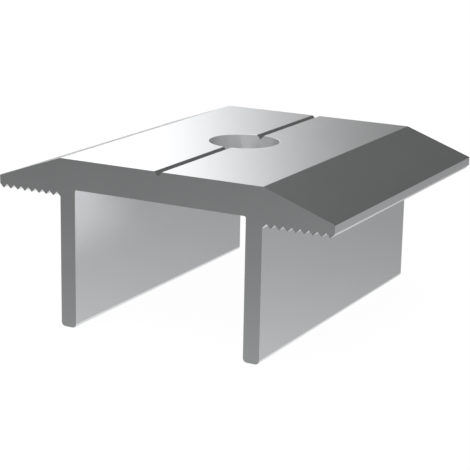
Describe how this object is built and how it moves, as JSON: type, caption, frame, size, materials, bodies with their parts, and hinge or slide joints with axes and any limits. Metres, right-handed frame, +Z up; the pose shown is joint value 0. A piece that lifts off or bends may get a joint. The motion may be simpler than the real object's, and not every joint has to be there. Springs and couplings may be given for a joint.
{
  "type": "solar mid clamp",
  "caption": "Extruded mid clamp: a flat plate on two spacer legs, with bevelled wings serrated underneath to grip two module frames, and a central bolt hole.",
  "frame": {"origin": "on the bolt axis at mid-length, at the level of the feet of the two legs", "axes": "+X across the wings, +Y along the extrusion, +Z up along the bolt axis, out of the top face"},
  "size_m": [0.043, 0.04, 0.02],
  "materials": {
    "aluminium_extrusion": "satin, as extruded and clear anodised; sawn ends and drilled hole bare"
  },
  "bodies": {
    "root": {"clamp_body": "aluminium_extrusion"}
  },
  "joints": []
}
